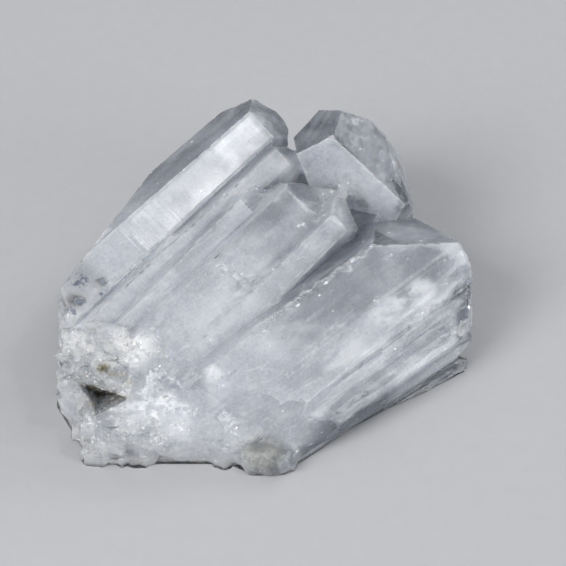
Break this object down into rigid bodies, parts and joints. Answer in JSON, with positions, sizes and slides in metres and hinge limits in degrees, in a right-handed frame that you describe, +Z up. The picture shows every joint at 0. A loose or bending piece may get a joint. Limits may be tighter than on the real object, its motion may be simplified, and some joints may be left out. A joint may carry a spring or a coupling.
{
  "type": "faden quartz cluster",
  "caption": "Hand-size cluster of clear to milky quartz crystals lying side by side in a low fan, with a broken white root and traces of brown clay",
  "frame": {"origin": "under the middle of the bounding box, on the face the cluster rests on", "axes": "X is the length across the fan, from the root at -X to the right-hand tips at +X; Y is the depth, with the root at the front at -Y and the back tips at +Y; Z is up"},
  "size_m": [0.0602, 0.0576, 0.0275],
  "materials": {
    "milky_quartz": "polished"
  },
  "bodies": {
    "root": {"quartz_cluster": "milky_quartz"}
  },
  "joints": []
}
